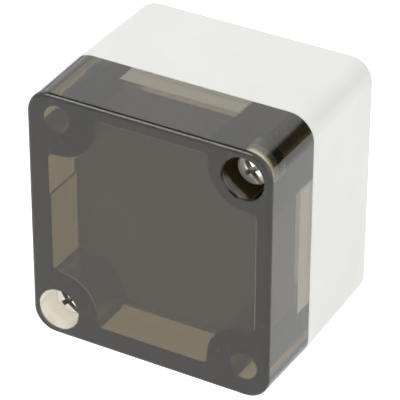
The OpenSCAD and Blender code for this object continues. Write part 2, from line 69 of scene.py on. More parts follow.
CASE_W, CASE_H, CASE_D = 50.0, 52.0, 40.0
COVER_D = 15.5
CORNER_R = 5.0
WALL = 3.7
FLOOR_T = 2.5
PLATE_T = 2.5
BACK_EDGE_R = 1.2
FRONT_EDGE_R = 0.9
DRAFT_FRONT, DRAFT_BACK = 0.24, 0.43
SKIRT_T = 1.15
TONGUE_H = 3.8
PART_GAP = 0.1
GASKET_T = 0.3
POST_INSET = 5.9
POST_R = 7.3
WELL_R, WELL_D = 4.2, 6.5
CORE_R = 2.8
WALL_HOLE_R, WALL_WELL_R = 2.1, 3.8
SCREW_R, SCREW_PITCH, SCREW_LEN = 1.5, 0.5, 15.5
HEAD_R, HEAD_T = 3.2, 2.3
SLOT_W, SLOT_D = 1.0, 0.9
SLOT_TURNS = (-53, -49)
INSERT_R, INSERT_LEN = 2.3, 5.7
ENTRY_LEVEL, ENTRY_R, ENTRY_FLANGE_R = 12.0, 5.5, 7.4
BOARD_LEVEL, BOARD_T = 7.0, 1.6
STANDOFF_R, BOARD_SCREW_R = 2.4, 0.9
BOARD_SCREWS = [(18.3, 8.5), (-18.3, 8.5), (9, -18), (-9, -18)]
PANEL_T = 1.2
PATCH_T, PATCH_TOP = 0.5, 3.8
WELL_FLOOR = FLOOR_T + 0.7
CAVITY_FILLET = 1.4

# Where the parts on the board stand.
CHIP_AT, REGULATOR_AT = (0, -4.6), (11, -1.1)
CHIP_SIZE, REGULATOR_SIZE = (8.7, 3.9, 1.6), (4.5, 2.5, 1.5)
DIODES_AT = [(17.4, -1), (-8.6, -2.2)]
LAMPS_AT = [(-1.4, 13.4), (1.4, 13.4)]
RELAY_AT, RELAY_SIZE = (14.4, -7.7), (12.4, 7.4, 9.6)
CHOKE_AT, CHOKE_R = (-9.4, -13.7), 1.95
# Each capacitor's node, place, radius, height and half lead spacing.
CANS = [
    ("smoothing_capacitor", (-12.2, -7.8), 3.15, 11, 1.25),
    ("timing_capacitor", (-18.2, -7.6), 2, 7, 1),
]
OPTICS_LEADS = [(s * 8.2 + t * 1.27, 7.5) for s in (-1, 1) for t in (-1, 1)]
RELAY_PINS = [(9.5 + i * 3.2, -7.7 + s * 2.54) for i in range(4) for s in (-1, 1)]
TERMINAL_PINS = [((i - 1.5) * 3.5, -10.3) for i in range(4)]
INK_W, INK_T = 0.18, 0.03

JOINT = CASE_D - COVER_D
TONGUE_TOP = JOINT + TONGUE_H
GROOVE_ROOF = TONGUE_TOP + GASKET_T + PART_GAP
CAVITY_ROOF = CASE_D - PLATE_T
SEAT = CASE_D - WELL_D
HEAD_LEVEL = SEAT + 0.8
PANEL_TOP = TONGUE_TOP - 0.2
INNER_W, INNER_H = CASE_W - 2 * WALL, CASE_H - 2 * WALL
POST_X, POST_Y = CASE_W / 2 - POST_INSET, CASE_H / 2 - POST_INSET
BOARD_TOP = BOARD_LEVEL + BOARD_T
TIP_HOLE = JOINT - 12
TONGUE_INSET = SKIRT_T + PART_GAP
SCREW_POSTS = [(POST_X, POST_Y), (-POST_X, -POST_Y)]
WALL_POSTS = [(-POST_X, POST_Y), (POST_X, -POST_Y)]

# The smoked plastic: colour that stays after 1 / density metres.
SMOKE_COLOUR, SMOKE_DENSITY = (0.375, 0.298, 0.096, 1), 520

# Camera fitted to the photograph: angles in degrees, lengths in millimetres.
CAMERA_AZIMUTH, CAMERA_ELEVATION, CAMERA_ROLL = 28.879, 32.109, 0.367
CAMERA_YAW, CAMERA_PITCH = 0.322, -0.383
CAMERA_TARGET, CAMERA_DISTANCE, CAMERA_LENS = (0, -15, 0), 493.7, 240.0


# ---------- outlines ----------

def arc(centre, radius, start, end, steps):
    """Points on an arc, its angles in degrees, both ends included."""
    turns = [math.radians(start + (end - start) * i / steps) for i in range(steps + 1)]
    return [(centre[0] + radius * math.cos(t), centre[1] + radius * math.sin(t)) for t in turns]


def circle(radius, steps):
    return arc((0, 0), radius, 0, 360, steps)[:-1]


def rounded_outline(width, height, radius, steps=16):
    x, y = width / 2 - radius, height / 2 - radius
    corners = [((x, y), 0), ((-x, y), 90), ((-x, -y), 180), ((x, -y), 270)]
    return [p for centre, start in corners for p in arc(centre, radius, start, start + 90, steps)]


def hollow_outline(width, height, post_r, fillet, steps=20):
    """Outline of the case's hollow: straight walls with a corner post bitten out of each corner."""
    x, y = width / 2, height / 2
    reach = post_r + fillet
    low = (x - fillet, POST_Y - math.sqrt(reach ** 2 - (x - fillet - POST_X) ** 2))
    high = (POST_X - math.sqrt(reach ** 2 - (y - fillet - POST_Y) ** 2), y - fillet)
    angles = [math.degrees(math.atan2(POST_Y - c[1], POST_X - c[0])) for c in (low, high)]
    corner = arc(low, fillet, 0, angles[0], 6)
    corner += arc((POST_X, POST_Y), post_r, angles[0] - 180, angles[1] - 180, steps)[1:-1]
    corner += arc(high, fillet, angles[1], 90, 6)
    mirrored = corner[::-1]
    return (corner + [(-a, b) for a, b in mirrored] + [(-a, -b) for a, b in corner]
            + [(a, -b) for a, b in mirrored])


def quarter(radius, steps=6):
    """(inset, rise) pairs from the foot of a rounded edge to its top."""
    turns = [math.pi / 2 * i / steps for i in range(steps + 1)]
    return [(radius * (1 - math.cos(t)), radius * math.sin(t)) for t in turns]


def edge_up(level, radius, inset=0.0, steps=6):
    """Profile of an edge that rounds inwards as it reaches its top level."""
    return [(inset + i, level - radius + rise) for i, rise in quarter(radius, steps)]


def edge_down(level, radius, inset=0.0, steps=6):
    """Profile of an edge that rounds outwards as it leaves its bottom level."""
    return [(inset + i, level + radius - rise) for i, rise in quarter(radius, steps)][::-1]


# ---------- solids ----------

def solid(rings):
    """Closed solid through rings of (x, y, level) points, all of one length, its ends capped."""
    bm = bmesh.new()
    made = [[bm.verts.new(p) for p in ring] for ring in rings]
    for a, b in zip(made, made[1:]):
        for i in range(len(a)):
            j = (i + 1) % len(a)
            bm.faces.new((a[i], a[j], b[j], b[i]))
    bm.faces.new(made[0][::-1])
    bm.faces.new(made[-1])
    bmesh.ops.recalc_face_normals(bm, faces=bm.faces)
    return bm


def slab(outline, profile):
    """Solid whose ring at each (inset, level) of the profile is outline(inset)."""
    return solid([[(x, y, level) for x, y in outline(inset)] for inset, level in profile])


def revolve(profile, centre=(0, 0), steps=64, start=0.0):
    """Solid turned from (radius, level) pairs about the line out from the wall at centre."""
    bm = bmesh.new()
    rings = []
    for radius, level in profile:
        if radius < 1e-6:
            rings.append([bm.verts.new((*centre, level))])
        else:
            points = arc(centre, radius, start, start + 360, steps)[:-1]
            rings.append([bm.verts.new((x, y, level)) for x, y in points])
    for a, b in zip(rings, rings[1:]):
        for i in range(steps):
            j = (i + 1) % steps
            ends = [a[i % len(a)], a[j % len(a)], b[j % len(b)], b[i % len(b)]]
            face = [v for k, v in enumerate(ends) if v is not ends[k - 1]]
            if len(face) > 2:
                bm.faces.new(face)
    for ring in (rings[0], rings[-1]):
        if len(ring) > 1:
            bm.faces.new(ring)
    bmesh.ops.recalc_face_normals(bm, faces=bm.faces)
    return bm


def block(low, high):
    bm = bmesh.new()
    bmesh.ops.create_cube(bm, size=1)
    for v in bm.verts:
        v.co = Vector([low[k] if v.co[k] < 0 else high[k] for k in range(3)])
    return bm


def temporary(bm):
    mesh = bpy.data.meshes.new("working")
    bm.to_mesh(mesh)
    bm.free()
    obj = bpy.data.objects.new("working", mesh)
    scene.collection.objects.link(obj)
    return obj


def combine(base, others, operation="DIFFERENCE"):
    """base with the other solids cut out of it, or joined to it, as a new bmesh."""
    target = temporary(base)
    tools = [temporary(bm) for bm in others]
    for tool in tools:
        modifier = target.modifiers.new("cut", "BOOLEAN")
        modifier.operation = operation
        modifier.solver = "EXACT"
        modifier.object = tool
    bpy.context.view_layer.update()
    graph = bpy.context.evaluated_depsgraph_get()
    bm = bmesh.new()
    bm.from_mesh(target.evaluated_get(graph).to_mesh())
    for obj in [target, *tools]:
        mesh = obj.data
        bpy.data.objects.remove(obj)
        bpy.data.meshes.remove(mesh)
    return bm


def piece(name, bm, body, material, replaces=(), smooth=35, transform=LYING):
    """Turns a bmesh in lying coordinates into a finished piece that rides on a body."""
    mesh = bpy.data.meshes.new(name)
    bm.to_mesh(mesh)
    bm.free()
    mesh.transform(transform)
    for polygon in mesh.polygons:
        polygon.use_smooth = True
    mesh.set_sharp_from_angle(angle=math.radians(smooth))
    mesh.materials.append(material)
    obj = bpy.data.objects.new(name, mesh)
    scene.collection.objects.link(obj)
    weighted = obj.modifiers.new("weighted", "WEIGHTED_NORMAL")
    weighted.keep_sharp = True
    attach(obj, body)
    if replaces:
        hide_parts(*replaces)
    return obj


# ---------- materials ----------

class Finish:
    """A material with a Principled shader, and short ways to add nodes to it. Sizes are in mm."""

    def __init__(self, name, **sockets):
        self.material = bpy.data.materials.new(name)
        self.material.use_nodes = True
        self.tree = self.material.node_tree
        self.shader = self.tree.nodes["Principled BSDF"]
        self.output = self.tree.nodes["Material Output"]
        self.place = self.add("ShaderNodeTexCoord").outputs["Object"]
        for socket, value in sockets.items():
            self.put(self.shader.inputs[socket.replace("_", " ")], value)

    def add(self, kind, **settings):
        node = self.tree.nodes.new(kind)
        for key, value in settings.items():
            setattr(node, key, value)
        return node

    def put(self, socket, value):
        if isinstance(value, bpy.types.NodeSocket):
            self.tree.links.new(value, socket)
        elif hasattr(value, "__len__") and len(value) == 3 and socket.type == "RGBA":
            socket.default_value = (*value, 1)
        else:
            socket.default_value = value

    def set(self, socket, value):
        self.put(self.shader.inputs[socket], value)

    def stretched(self, x, y, z):
        node = self.add("ShaderNodeMapping")
        self.put(node.inputs["Vector"], self.place)
        node.inputs["Scale"].default_value = (x, y, z)
        return node.outputs["Vector"]

    def noise(self, size, detail=4, rough=0.55, place=None):
        node = self.add("ShaderNodeTexNoise")
        self.put(node.inputs["Vector"], place or self.place)
        node.inputs["Scale"].default_value = 1 / (size * MM)
        node.inputs["Detail"].default_value = detail
        node.inputs["Roughness"].default_value = rough
        return node.outputs["Fac"]

    def remap(self, value, low, high, to_low=0.0, to_high=1.0):
        node = self.add("ShaderNodeMapRange")
        self.put(node.inputs["Value"], value)
        ends = {"From Min": low, "From Max": high, "To Min": to_low, "To Max": to_high}
        for name, number in ends.items():
            node.inputs[name].default_value = number
        return node.outputs["Result"]

    def math(self, operation, a, b=0.0):
        node = self.add("ShaderNodeMath", operation=operation)
        self.put(node.inputs[0], a)
        self.put(node.inputs[1], b)
        return node.outputs[0]

    def mix(self, factor, a, b):
        node = self.add("ShaderNodeMix", data_type="RGBA")
        self.put(node.inputs["Factor"], factor)
        self.put(node.inputs[6], a)
        self.put(node.inputs[7], b)
        return node.outputs[2]

    def bump(self, height, strength, depth):
        node = self.add("ShaderNodeBump")
        self.put(node.inputs["Height"], height)
        node.inputs["Strength"].default_value = strength
        node.inputs["Distance"].default_value = depth * MM
        self.set("Normal", node.outputs["Normal"])

    def axes(self):
        """The x, y and z of the place, as three sockets."""
        node = self.add("ShaderNodeSeparateXYZ")
        self.put(node.inputs[0], self.place)
        return node.outputs["X"], node.outputs["Y"], node.outputs["Z"]

    def absorb(self, colour, density):
        node = self.add("ShaderNodeVolumeAbsorption")
        node.inputs["Color"].default_value = colour
        node.inputs["Density"].default_value = density
        self.put(self.output.inputs["Volume"], node.outputs["Volume"])


def housing_plastic():
    """Light grey moulded case: fine satin grain, faint flow marks and a few darker specks."""
    f = Finish("housing_plastic", IOR=1.5)
    tone = f.remap(f.noise(14, 3), 0.3, 0.7)
    body = f.mix(tone, (0.475, 0.48, 0.455), (0.50, 0.505, 0.48))
    specks = f.remap(f.noise(0.9, 2, 0.7), 0.72, 0.8)
    f.set("Base Color", f.mix(f.math("MULTIPLY", specks, 0.25), body, (0.36, 0.35, 0.32)))
    grain = f.noise(0.22, 3, 0.6)
    f.set("Roughness", f.remap(grain, 0.3, 0.7, 0.42, 0.58))
    f.bump(grain, 0.15, 0.015)
    return f.material


def smoked_plastic():
    """Clear smoke-brown plastic: ripple, hairline scratches, dust, and grain on the inner walls."""
    f = Finish("smoked_plastic", Roughness=0.02, IOR=1.585, Transmission_Weight=1.0)
    f.set("Specular Tint", (1, 0.98, 0.93))
    f.set("Base Color", (1, 1, 1))
    scratches = f.remap(f.noise(1.2, 1, 0.5, f.stretched(0.03, 1, 0.5)), 0.68, 0.74)
    waves = f.math("MULTIPLY", f.noise(7, 1), 2.0)
    x, y, z = f.axes()
    edge_x, edge_z, roof = INNER_W / 2, INNER_H / 2, CAVITY_ROOF
    across = f.remap(f.math("ABSOLUTE", x), (edge_x + 0.3) * MM, (edge_x + 0.1) * MM)
    up = f.remap(f.math("ABSOLUTE", z), (edge_z + 0.3) * MM, (edge_z + 0.1) * MM)
    deep = f.remap(y, -(roof - 0.6) * MM, -(roof - 1.2) * MM)
    inside = f.math("MULTIPLY", f.math("MULTIPLY", across, up), deep)
    grain = f.math("MULTIPLY", f.math("MULTIPLY", f.noise(0.5, 1), inside), 1.5)
    dust = f.remap(f.noise(0.7, 2, 0.7), 0.76, 0.80)
    marks = f.math("ADD", f.math("MULTIPLY", scratches, 0.4), f.math("MULTIPLY", dust, 1.5))
    f.bump(f.math("ADD", f.math("ADD", waves, grain), marks), 0.2, 0.006)
    f.absorb(SMOKE_COLOUR, SMOKE_DENSITY)
    return f.material


def moulded(name, colour, roughness=0.45, grain=0.25, depth=0.01, vary=0.12, **more):
    """Moulded plastic, epoxy or rubber: mottled colour, paler worn edges and a fine grain."""
    f = Finish(name, **more)
    darker = tuple(c * (1 - vary) for c in colour)
    lighter = tuple(min(1, c * (1 + vary) + 0.004) for c in colour)
    body = f.mix(f.remap(f.noise(4, 3), 0.3, 0.7), darker, lighter)
    worn = tuple(min(1, c * 1.3 + 0.02) for c in colour)
    edges = f.remap(f.add("ShaderNodeNewGeometry").outputs["Pointiness"], 0.53, 0.62, 0, 0.6)
    f.set("Base Color", f.mix(edges, body, worn))
    skin = f.noise(grain, 3, 0.6)
    f.set("Roughness", f.remap(skin, 0.3, 0.7, roughness - 0.08, roughness + 0.1))
    f.bump(skin, 0.2, depth)
    return f.material


def metal(name, colour, roughness, brush=(1, 1, 1), vary=0.08):
    """Plated or machined metal: brushed along one axis, with duller blotches."""
    f = Finish(name, Metallic=1.0)
    dull = f.remap(f.noise(1.6, 4), 0.35, 0.7)
    f.set("Base Color", f.mix(dull, colour, tuple(c * (1 - vary) for c in colour)))
    lines = f.noise(0.12, 3, 0.6, f.stretched(*brush))
    f.set("Roughness", f.remap(lines, 0.3, 0.7, roughness * 0.7, roughness * 1.35))
    f.bump(lines, 0.2, 0.004)
    return f.material


def head_steel():
    """Bright screw steel, with painted shade: dark brown and rougher deeper than the top of a cover
    screw's head.
    """
    f = Finish("head_steel", Metallic=1.0)
    top = HEAD_LEVEL + HEAD_T
    deep = f.remap(f.axes()[1], -(top - 0.35) * MM, -(top - 0.75) * MM)
    # Painted shade: deeper than 0.35 mm below the head's top (in the slot, the cross and down the
    # sides) the steel turns dark brown, standing in for the shade in those recesses.
    painted_recess_shade = f.math("MULTIPLY", deep, f.remap(f.noise(0.5, 3), 0.3, 0.7, 0.7, 1))
    f.set("Base Color", f.mix(painted_recess_shade, (0.86, 0.85, 0.82), (0.30, 0.28, 0.22)))
    swirl = f.noise(0.3, 4, 0.65)
    clean = f.remap(swirl, 0.3, 0.7, 0.28, 0.42)
    f.set("Roughness", f.math("ADD", clean, f.math("MULTIPLY", painted_recess_shade, 0.15)))
    f.bump(swirl, 0.25, 0.01)
    return f.material


def circuit_board_finish():
    """Solder mask over copper: paler green tracks in two directions and a pour of copper."""
    f = Finish("board", Roughness=0.28, IOR=1.5, Coat_Weight=0.3)
    pitch = 1.27
    x, _, y = f.axes()
    wander = f.math("MULTIPLY", f.math("SUBTRACT", f.noise(7, 0), 0.5), 4 * MM)

    def tracks(across, where):
        shifted = f.math("ADD", across, f.math("SNAP", wander, 0.6 * MM))
        place = f.math("FRACT", f.math("DIVIDE", shifted, pitch * MM))
        off_centre = f.math("ABSOLUTE", f.math("SUBTRACT", place, 0.5))
        line = f.remap(off_centre, 0.12, 0.16, 1, 0)
        return f.math("MULTIPLY", line, f.remap(f.noise(where, 0, 0.5), 0.5, 0.52))

    copper = f.math("MAXIMUM", tracks(x, 5), f.math("MULTIPLY", tracks(y, 9), 0.9))
    pour = f.remap(f.noise(11, 1), 0.56, 0.57)
    copper = f.math("MAXIMUM", copper, pour)
    f.set("Base Color", f.mix(copper, (0.012, 0.10, 0.045), (0.03, 0.19, 0.075)))
    f.bump(f.math("ADD", copper, f.math("MULTIPLY", f.noise(0.3, 3), 0.2)), 0.4, 0.03)
    return f.material


def clear_plastic(name, tint, density, roughness=0.03):
    """Clear tinted plastic or epoxy, very slightly rippled."""
    f = Finish(name, Roughness=roughness, IOR=1.49, Transmission_Weight=1.0)
    f.set("Base Color", (1, 1, 1))
    f.bump(f.noise(2.5, 2), 0.15, 0.01)
    f.absorb((*tint, 1), density)
    return f.material


def make_finishes():
    """One finish for each material slot, and one for the cover screws."""
    made = {
        "housing_plastic": housing_plastic(),
        "smoked_plastic": smoked_plastic(),
        "head_steel": head_steel(),
        "board": circuit_board_finish(),
        "clear_lens": clear_plastic("clear_lens", (0.75, 0.78, 0.82), 30),
        "emitter_epoxy": clear_plastic("emitter_epoxy", (0.45, 0.6, 0.95), 120, 0.05),
    }
    # Colour, roughness, grain size, grain depth, and where it isn't 0.12 the mottling.
    matt = {
        "filter_plastic": ((0.125, 0.105, 0.085), 0.55, 0.9, 0.006, 0.06),
        "silicone": ((0.30, 0.28, 0.25), 0.6, 0.3, 0.02),
        "black_rubber": ((0.022, 0.022, 0.024), 0.6, 0.2, 0.03, 0.2),
        "black_plastic": ((0.014, 0.014, 0.015), 0.55, 0.15, 0.02, 0.2),
        "relay_plastic": ((0.74, 0.72, 0.66), 0.38, 0.3, 0.01, 0.06),
        "terminal_plastic": ((0.02, 0.17, 0.075), 0.4, 0.3, 0.015),
        "trimmer_plastic": ((0.025, 0.12, 0.42), 0.35, 0.3, 0.01),
        "white_plastic": ((0.78, 0.77, 0.72), 0.4, 0.3, 0.01, 0.05),
        "switch_plastic": ((0.45, 0.025, 0.018), 0.35, 0.3, 0.01),
        "chip_epoxy": ((0.016, 0.016, 0.018), 0.5, 0.12, 0.02, 0.25),
        "ferrite": ((0.05, 0.05, 0.053), 0.5, 0.2, 0.03, 0.2),
        "lamp_epoxy": ((0.75, 0.70, 0.40), 0.2, 0.5, 0.01, 0.08),
        "chip_ceramic": ((0.42, 0.31, 0.19), 0.45, 0.2, 0.01),
    }
    # As above, and the weight of a glossy coat.
    coated = {
        "diode_epoxy": ((0.02, 0.012, 0.028), 0.15, 0.6, 0.01, 0.2, 0.5),
        "can_sleeve": ((0.015, 0.028, 0.085), 0.25, 0.8, 0.015, 0.2, 0.4),
    }
    # Colour, roughness and the brushing's stretch.
    metals = {
        "brass": ((0.78, 0.56, 0.25), 0.25, (1, 0.1, 1)),
        "screw_steel": ((0.83, 0.82, 0.79), 0.16),
        "tinned_metal": ((0.78, 0.78, 0.76), 0.3),
        "clamp_metal": ((0.70, 0.66, 0.52), 0.32, (0.2, 1, 1)),
    }
    made.update({name: moulded(name, *look) for name, look in matt.items()})
    for name, (*look, coat) in coated.items():
        made[name] = moulded(name, *look, Coat_Weight=coat)
    made.update({name: metal(name, *look) for name, look in metals.items()})
    return made


# ---------- case ----------

def drafted(inset=0.0):
    """Outline of the case's outside, drawn in by an inset."""
    return rounded_outline(CASE_W - 2 * inset, CASE_H - 2 * inset, CORNER_R - inset)


def hollow(width, height, post_r, fillet=0.8):
    """Outline of the case's hollow as a function of an inset."""
    def outline(inset):
        return hollow_outline(width - 2 * inset, height - 2 * inset, post_r + inset, fillet)

    return outline


def cable_entry():
    """Cutter for the cable entry in the bottom wall: a hole with a flange's seat round it."""
    seat, lip = ENTRY_FLANGE_R + 0.05, ENTRY_FLANGE_R + 0.25
    entry = revolve([(lip, -1), (lip, 0), (seat, 0.2), (seat, 1), (ENTRY_R, 1),
                     (ENTRY_R, WALL + 1)], steps=96)
    entry.transform(Matrix.Translation((0, -CASE_H / 2, ENTRY_LEVEL))
                    @ Matrix.Rotation(-math.pi / 2, 4, "X"))
    return entry


def build_housing(material):
    outer = slab(drafted, edge_down(0, BACK_EDGE_R, DRAFT_BACK, 10) + edge_up(JOINT, 0.25, steps=4))
    tongue = slab(hollow(CASE_W - 2 * TONGUE_INSET, CASE_H - 2 * TONGUE_INSET, POST_R + 0.15),
                  [(0, JOINT - 1)] + edge_up(TONGUE_TOP, 0.15, steps=3))
    inside = slab(hollow(INNER_W, INNER_H, POST_R),
                  edge_down(FLOOR_T, 0.8, steps=5) + [(0, TONGUE_TOP + 1)])
    shell = combine(combine(outer, [tongue], "UNION"), [inside])
    foot_r = STANDOFF_R + 0.5
    standoff = [(foot_r, FLOOR_T - 0.5), (foot_r, FLOOR_T + 0.05), (STANDOFF_R, FLOOR_T + 0.6),
                (STANDOFF_R, BOARD_LEVEL)]
    shell = combine(shell, [revolve(standoff, at, 40) for at in BOARD_SCREWS], "UNION")
    pilot = [(BOARD_SCREW_R, WELL_FLOOR), (BOARD_SCREW_R, BOARD_LEVEL + 1)]
    cutters = [revolve(pilot, at, 24) for at in BOARD_SCREWS]
    clearance, foot, chamfer = SCREW_R + 0.2, JOINT - INSERT_LEN, INSERT_R + 0.2
    bore = [(clearance, TIP_HOLE), (clearance, foot), (INSERT_R, foot), (INSERT_R, JOINT - 0.2),
            (chamfer, JOINT), (chamfer, JOINT + 1)]
    cutters += [revolve(bore, at, 48) for at in SCREW_POSTS]
    mouth = WALL_WELL_R + 0.3
    well = [(WALL_HOLE_R, -1), (WALL_HOLE_R, WELL_FLOOR), (WALL_WELL_R, WELL_FLOOR),
            (WALL_WELL_R, JOINT - 0.3), (mouth, JOINT), (mouth, JOINT + 1)]
    cutters += [revolve(well, at, 64) for at in WALL_POSTS]
    cutters.append(cable_entry())
    return piece("housing_shell", combine(shell, cutters), "housing", material,
                 ["base_housing"])


def build_cover(material):
    outer = slab(drafted, edge_down(JOINT + PART_GAP, 0.2)
                 + edge_up(CASE_D, FRONT_EDGE_R, DRAFT_FRONT, 10))
    patch = block((-INNER_W / 2 - 1, -INNER_H / 2 - 1, GROOVE_ROOF),
                  (-INNER_W / 2 + PATCH_T, PATCH_TOP, CASE_D))
    cavity = slab(hollow(INNER_W, INNER_H, POST_R, CAVITY_FILLET),
                  [(0, JOINT - 1)] + edge_up(CAVITY_ROOF, 0.5))
    groove = slab(hollow(CASE_W - 2 * SKIRT_T, CASE_H - 2 * SKIRT_T, POST_R - 0.001),
                  [(0, JOINT - 2), (0, GROOVE_ROOF)])
    cutters = [combine(cavity, [patch]), groove]
    rim, clearance = 0.12, SCREW_R + 0.2
    well = [(clearance, JOINT - 1), (clearance, SEAT), (WELL_R - 0.3, SEAT), (WELL_R, SEAT + 0.3)]
    well += [(WELL_R + i, CASE_D - rim + rise) for rise, i in quarter(rim)]
    well.append((WELL_R + rim, CASE_D + 1))
    cutters += [revolve(well, at, 96) for at in SCREW_POSTS]
    core = [(CORE_R, JOINT - 1), (CORE_R - 0.05, CAVITY_ROOF - 0.2),
            (CORE_R - 0.25, CAVITY_ROOF), (0, CAVITY_ROOF)]
    cutters += [revolve(core, at, 64) for at in WALL_POSTS]
    return piece("smoked_cover_shell", combine(outer, cutters), "cover", material,
                 ["smoked_cover"])


def build_panel(material):
    clear, rounding = 0.25, 0.1
    bm = slab(hollow(INNER_W - 2 * clear, INNER_H - 2 * clear, POST_R + 0.05),
              edge_down(PANEL_TOP - PANEL_T, rounding, steps=2)
              + edge_up(PANEL_TOP, rounding, steps=2))
    return piece("filter_window", bm, "cover", material, ["filter_panel"])


# ---------- cover screws ----------

def cross_cutter(span, width, top, depth):
    """Two tapered bars that cross: the recess of a cross-head screw."""
    taper = ((0.3, top - depth), (0.12, top - depth * 0.5), (0, top), (0, top + 1))
    bars = []
    for length, across in ((span, width), (width, span)):
        rings = []
        for shrink, level in taper:
            x, y = length / 2 - shrink * length / span, across / 2 - shrink * across / span
            rings.append([(x, y, level), (-x, y, level), (-x, -y, level), (x, -y, level)])
        bars.append(solid(rings))
    return bars


def screw_rings(steps=48, per_turn=8):
    """Rings from the tip up a helical thread, then round the pan head to its top."""
    thread_depth, ridge_slope, tip = 0.3, 2.6, HEAD_LEVEL - SCREW_LEN
    rings = []
    count = int(SCREW_LEN / SCREW_PITCH * per_turn)
    for k in range(count + 1):
        level = tip + SCREW_LEN * k / count
        fade = min(1, k / (2 * per_turn), (count - k) / (2 * per_turn))
        ring = []
        for i in range(steps):
            phase = ((level - tip) / SCREW_PITCH - i / steps) % 1
            ridge = 1 - min(abs(phase - 0.5) * ridge_slope, 1)
            r = SCREW_R - thread_depth * (1 - fade * ridge)
            turn = 2 * math.pi * i / steps
            ring.append((r * math.cos(turn), r * math.sin(turn), level))
        rings.append(ring)
    top = HEAD_LEVEL + HEAD_T
    rim_drop, rim_round = 0.95, 0.55
    head = [(HEAD_R - 0.15, HEAD_LEVEL), (HEAD_R, HEAD_LEVEL + 0.15), (HEAD_R, top - rim_drop)]
    head += [(HEAD_R - i, top - rim_drop + rise) for i, rise in quarter(rim_round, 8)[1:]]
    head += [(HEAD_R - 1.2, top - 0.2), (HEAD_R - 1.9, top - 0.07), (HEAD_R - 2.6, top)]
    for r, level in head:
        rings.append([(x, y, level) for x, y in circle(r, steps)])
    return rings


def build_screw(k, at, turn, material):
    """Cover screw: a straight slot over a cross recess, with its sharp edges broken."""
    top, half = HEAD_LEVEL + HEAD_T, SLOT_W / 2
    outline = ((4, half), (-4, half), (-4, -half), (4, -half))
    slot = solid([[(x, y * grow, level) for x, y in outline]
                  for grow, level in ((0.85, top - SLOT_D), (1, top), (1, top + 1))])
    bm = combine(solid(screw_rings()), [slot, *cross_cutter(3.8, 0.95, top, 1.6)])
    sharp = [e for e in bm.edges if len(e.link_faces) == 2 and e.calc_face_angle(0) > 0.7
             and min(v.co.z for v in e.verts) > HEAD_LEVEL + 0.4]
    bmesh.ops.bevel(bm, geom=sharp, offset=0.07, segments=2, affect="EDGES", clamp_overlap=True)
    bm.transform(Matrix.Translation((*at, 0)) @ Matrix.Rotation(math.radians(turn), 4, "Z"))
    piece(f"pan_head_screw_{k}", bm, f"screw_{k}", material, [f"cover_screw_{k}"])


def torus(centre, radius, section, steps=64):
    """Closed ring whose section is a loop of (outwards, level) points about its centre line."""
    bm = bmesh.new()
    rings = []
    for i in range(steps):
        turn = 2 * math.pi * i / steps
        rings.append([bm.verts.new((centre[0] + (radius + out) * math.cos(turn),
                                    centre[1] + (radius + out) * math.sin(turn), level))
                      for out, level in section])
    for i, ring in enumerate(rings):
        after = rings[(i + 1) % steps]
        for a in range(len(section)):
            b = (a + 1) % len(section)
            bm.faces.new((ring[a], after[a], after[b], ring[b]))
    bmesh.ops.recalc_face_normals(bm, faces=bm.faces)
    return bm


def build_seal_ring(k, at, material):
    cord, height = 0.5, 0.78
    section = [(cord * math.cos(t), SEAT + 0.4 + height / 2 * math.sin(t))
               for t in (2 * math.pi * i / 16 for i in range(16))]
    ring = torus(at, SCREW_R + 0.05 + cord, section)
    piece(f"round_seal_{k}", ring, f"ring_{k}", material, [f"seal_ring_{k}"])


# ---------- board parts ----------

def merge(parts):
    """Several closed solids in one bmesh."""
    whole = bmesh.new()
    for bm in parts:
        mesh = bpy.data.meshes.new("working")
        bm.to_mesh(mesh)
        bm.free()
        whole.from_mesh(mesh)
        bpy.data.meshes.remove(mesh)
    return whole


def soft_outline(at, width, height, radius, steps):
    """Rounded rectangle about a place, as a function of an inset."""
    def outline(inset):
        corner = max(radius - inset, 0.02)
        points = rounded_outline(width - 2 * inset, height - 2 * inset, corner, steps)
        return [(at[0] + x, at[1] + y) for x, y in points]

    return outline


def soft_box(at, size, level, radius=0.15, edge=0.1):
    """Upright box with rounded corners and a rounded top edge."""
    width, height, rise = size
    return slab(soft_outline(at, width, height, radius, 4),
                [(0, level)] + edge_up(level + rise, edge, steps=3))


def on_board(name, bm, slot, replaces=()):
    """A piece that rides on the housing in its slot's own finish."""
    piece(name, bm, "housing", finishes[slot], replaces)


def build_chip_parts():
    """Resistors and capacitors with plated end caps, in place of the plain blocks."""
    (length, width, rise), cap = (1.6, 0.8, 0.6), 0.3
    resistors = [(-4.4 + 2.2 * i, 0.4) for i in range(5)]
    resistors += [(18.6, 2.4 + 1.6 * i) for i in range(2)]
    capacitors = [(-12.9, -3.3 + 1.5 * i) for i in range(3)]
    capacitors += [(7.2, -3.2 - 1.9 * i) for i in range(2)]
    groups = {
        "resistor": ("chip_resistors", "chip_epoxy", resistors),
        "capacitor": ("chip_capacitors", "chip_ceramic", capacitors),
    }
    core = (length - 2 * cap, width - 0.06, rise - 0.04)
    for name, (node, slot, places) in groups.items():
        cores = [soft_box(at, core, BOARD_TOP + 0.02) for at in places]
        ends = [soft_box((x + s * (length - cap) / 2, y), (cap, width, rise), BOARD_TOP, 0.08, 0.08)
                for x, y in places for s in (-1, 1)]
        on_board(f"{name}_cores", merge(cores), slot, [node])
        on_board(f"{name}_caps", merge(ends), "tinned_metal")


def gull_wing(at, side, half_body, width, rise=0.75, foot=0.5):
    """Bent lead of a chip: out of the body, down and along the board."""
    t = 0.15
    path = [(half_body - 0.2, rise), (half_body + 0.2, rise),
            (half_body + 0.35, t / 2), (half_body + 0.35 + foot, t / 2)]
    corners = ((-1, -1), (1, -1), (1, 1), (-1, 1))
    return solid([[(at[0] + a * width / 2, at[1] + side * reach, BOARD_TOP + level + b * t / 2)
                   for a, b in corners] for reach, level in path])


def chip_outline(x, y, length, width):
    """Outline of the controller about a place, as a function of an inset."""
    def outline(inset):
        points = rounded_outline(length - 2 * inset, width - 2 * inset, 0.3, 3)
        return [(x + a, y + b) for a, b in points]

    return outline


